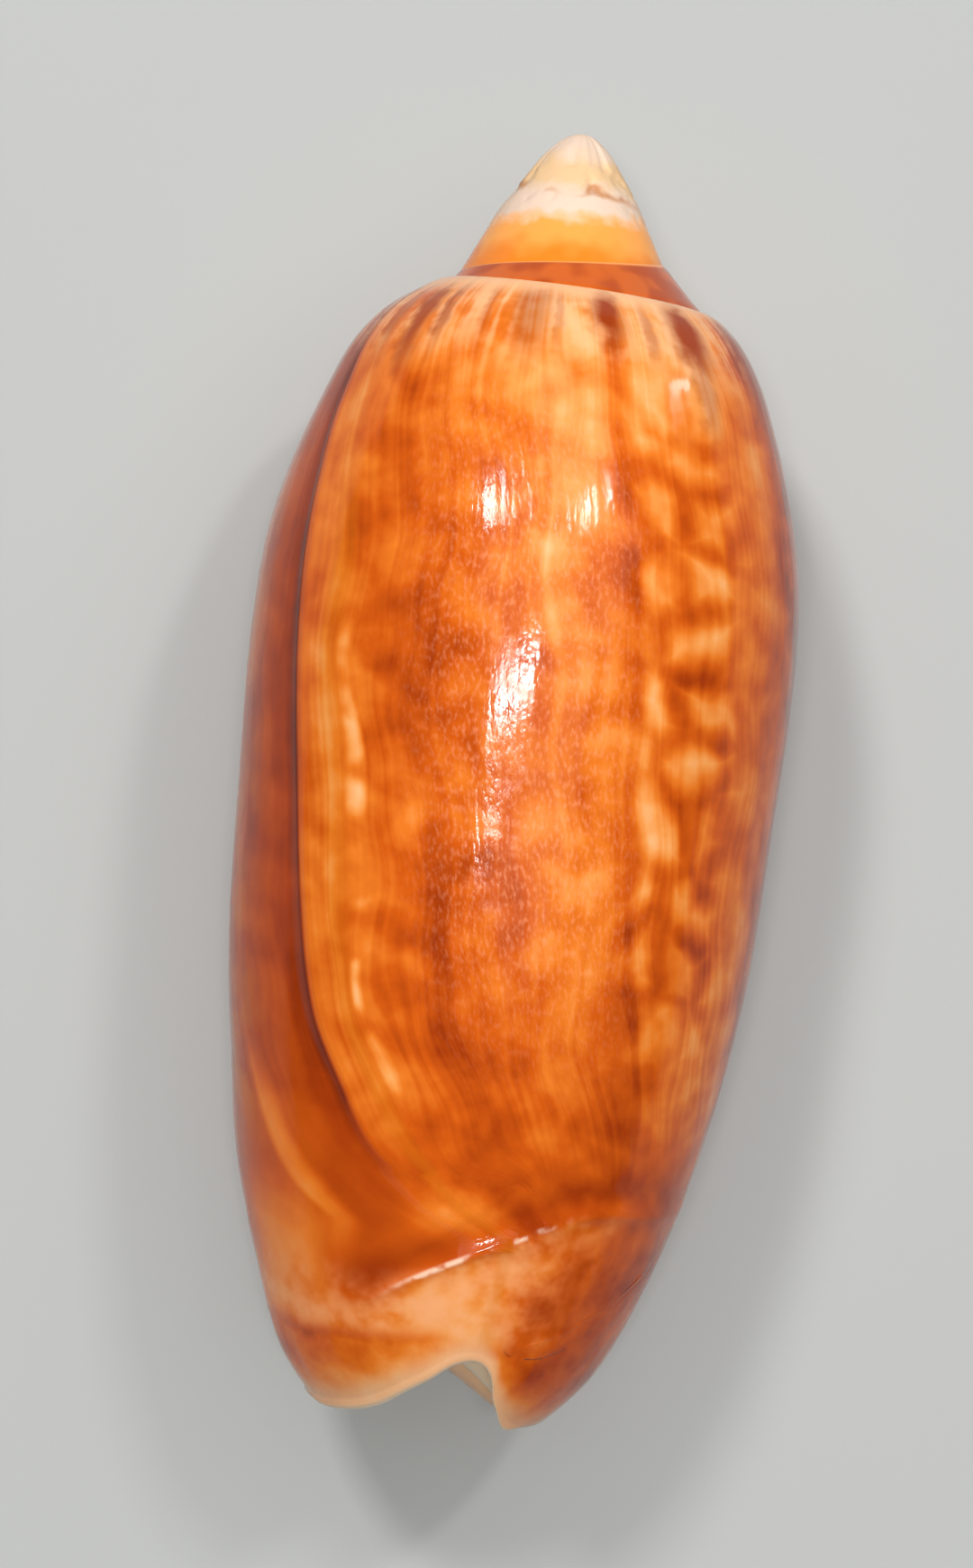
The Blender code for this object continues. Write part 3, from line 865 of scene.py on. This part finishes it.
# Flames hang from the shoulder: growth angle, height, half width, half length, depth
FLAMES = ((90, 9.6, 9, 3.4, 0.9), (57, 9.6, 4, 2.4, 0.6), (46, 9.8, 5, 3.2, 0.9),
          (37.5, 9.4, 3, 2.5, 0.7), (24, 9.3, 2.6, 2.0, 0.35), (10, 9.2, 8, 2.8, 0.55),
          (2, 9.4, 2.4, 2.0, 0.4), (-13.5, 8.9, 6.5, 2.3, 1.0), (-26, 9.6, 3, 1.7, 0.5),
          (-40.5, 9.4, 8.5, 2.9, 1.0), (-41, 12.0, 5, 3.0, 0.5), (-72, 10.0, 13, 4.4, 0.95),
          (-104, 9.6, 7, 2.8, 0.9), (-134, 9.7, 8, 2.9, 0.8), (-160, 9.7, 7, 2.6, 0.6),
          (118, 9.8, 7, 2.8, 0.8), (137, 9.9, 5, 2.3, 0.6))
shoulder_streaks = (1 - rise(height, 8.4, 12.5)) * rise(fine + speck, 0.8, 1.2)
body = blend(body, SHOULDER_PEACH, shoulder_streaks * 0.7)
flicker = speck - 0.5
flame_spot = Shade.node("CombineXYZ", {}, {0: grown + flicker * 6, 1: height + flicker * 1.6})
flames = 0.0
for angle, middle, wide, long, depth in FLAMES:
    inputs = {0: flame_spot, 1: (1 / wide, 1 / long, 0), 2: (-angle / wide, -middle / long, 0)}
    offset = Shade.node("VectorMath", {"operation": "MULTIPLY_ADD"}, inputs)
    far = Shade.node("VectorMath", {"operation": "LENGTH"}, {0: offset}, 1)
    flame = rise(far, 1.2, 0.2) * depth
    flames = Shade.maths("MAXIMUM", flame, flames)
body = blend(body, FLAME_BROWN, flames)
pale_edge = 1 - rise(height + flicker * 0.9, 7.85, 8.6)
body = blend(body, SHOULDER_PEACH, pale_edge * 0.85)
body = blend(body, RIM_CREAM, (1 - rise(rim, -0.3, 0.3 + cloud * 1.6)) * 0.85)
body = blend(body, MOUTH_CREAM, rise(lining, 0.1, 0.45))

scratches = streaks(grown * 0.42, height * 0.22, 105.0)
raised = scratches * (0.014 + pitted * 0.016) + fleck * pitted * 0.01
resting = within(grown, 65.4, 68.0, 0.6)
finish_glaze(body, 0.08 + rise(speck, 0.42, 0.7) * 0.08 + resting * 0.5, raised)

# The spire: a chalky worn tip, old seams, a pale border, then glossy callus down to its ridge,
# below which a brown band leads down to the groove
start_glaze(spire_glaze)
grown, height = marks_of("growth", TURN, LENGTH)
ring, _ = marks_of("profile", MARK_UNIT, 1)
turn = Shade.node("Math", {"operation": "SINE"}, {0: grown * math.radians(1.0)})
worn = clouds(0.9, 71.0, 3.0) - 0.5
patches = clouds(1.7, 75.0) - 0.5
callus_edge = height - 4.25 - turn * 0.3 - worn * 1.2
spire = blend(CHALK, CHALK_TAN, within(height + worn * 1.4, 1.3, 2.8, 0.5) * 0.8)
seam = within(height + worn * 0.5 + patches * 1.4 + turn * 0.2, 2.95, 3.2, 0.16)
spire = blend(spire, SEAM_BROWN, seam * rise(patches, -0.1, 0.1) * 0.85)
callus = blend(CALLUS_ORANGE, CALLUS_AMBER, rise(height + patches * 3, 5.0, 6.6))
spire = blend(spire, SHOULDER_PEACH, rise(callus_edge, -0.35, 0.1))
spire = blend(spire, callus, rise(callus_edge, 0.0, 0.5))
last_turn = rise(grown, -452, -448)
band = blend(BAND_BROWN, BAND_SHADE, rise(patches, -0.1, 0.12))
spire = blend(spire, SHOULDER_PEACH, last_turn * within(ring, 0.5, 1.4, 0.35) * 0.6)
spire = blend(spire, band, last_turn * rise(ring, 1.5, 2.0))
spire = blend(spire, GROOVE_BROWN, last_turn * rise(ring, 5.3, 6.0))
chalky = 1 - rise(callus_edge, -0.1, 0.25)
finish_glaze(spire, 0.14 + chalky * 0.45, chalky * (worn * 0.07 + patches * 0.05))

# Inside the mouth the glaze is cream with warm clouds.
start_glaze(mouth_glaze)
warm = clouds(5.0, 91.0)
inside = blend(MOUTH_CREAM, screen(232, 160, 96), rise(warm, 0.5, 0.7) * 0.5)
finish_glaze(inside, 0.18 + warm * 0.1, warm * 0.01)
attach(shell, "root")
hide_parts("shell")

# The table under the shell is a plain pale sheet, much wider than the view.
bpy.ops.object.select_all(action="DESELECT")
bpy.ops.mesh.primitive_plane_add(size=3.0)
floor = bpy.context.object
floor.name = "floor"
paper = bpy.data.materials.new("pale_paper")
paper.use_nodes = True
paper_shader = paper.node_tree.nodes["Principled BSDF"]
paper_shader.inputs["Base Color"].default_value = (0.44, 0.45, 0.44, 1.0)
paper_shader.inputs["Roughness"].default_value = 0.9
floor.data.materials.append(paper)

# The camera looks straight down from close by, rolled so that the spire leans to the right.
PHOTO_LONG_SIDE = 72.85 * MM
CAMERA_DISTANCE = 215 * MM
ROLL = math.radians(6.6)
VIEW_RIGHT = -0.975 * MM
VIEW_DOWN = 30.5 * MM
apex_y = max(vertex.co.y for vertex in shell.data.vertices)
axis_z = -FLOOR * MM
lens = bpy.data.cameras.new("camera")
lens.sensor_width = 36.0
lens.lens = lens.sensor_width * CAMERA_DISTANCE / PHOTO_LONG_SIDE
lens.clip_start = 0.01
camera = bpy.data.objects.new("camera", lens)
camera.location = (VIEW_RIGHT, apex_y - VIEW_DOWN, axis_z + CAMERA_DISTANCE)
camera.rotation_euler = (0.0, 0.0, ROLL)
bpy.context.scene.collection.objects.link(camera)
bpy.context.scene.camera = camera


# The light is one wide soft lamp overhead, leaning towards the spire, with small bright ones that
# show as glints on the glaze, in a dim even room.
def lamp(name, way, distance, width, length, power, turn=0.0):
    light = bpy.data.lights.new(name, "AREA")
    light.shape = "RECTANGLE"
    light.size = width
    light.size_y = length
    light.energy = power
    thing = bpy.data.objects.new(name, light)
    thing.location = Vector(way).normalized() * distance
    facing = Vector(way).to_track_quat("Z", "Y")
    facing.rotate(Quaternion(Vector(way), math.radians(turn)))
    thing.rotation_euler = facing.to_euler()
    bpy.context.scene.collection.objects.link(thing)


lamp("overhead", (-0.02, 0.0, 1.0), 0.6, 0.035, 0.13, 1.5, 20)
lamp("left", (-0.36, 0.56, 1.0), 0.6, 0.08, 0.1, 1.5)
lamp("right", (0.4, 0.6, 1.0), 0.6, 0.035, 0.09, 0.7)
lamp("window", (0.76, 0.64, 0.14), 0.7, 0.03, 0.08, 0.14)
lamp("room", (0.2, 0.35, 1.0), 1.2, 1.2, 1.2, 5.4)
world = bpy.data.worlds.new("room")
world.use_nodes = True
room_air = world.node_tree.nodes["Background"]
room_air.inputs["Color"].default_value = (0.9, 0.88, 0.85, 1.0)
room_air.inputs["Strength"].default_value = 0.12
bpy.context.scene.world = world
bpy.context.scene.view_settings.view_transform = "Standard"
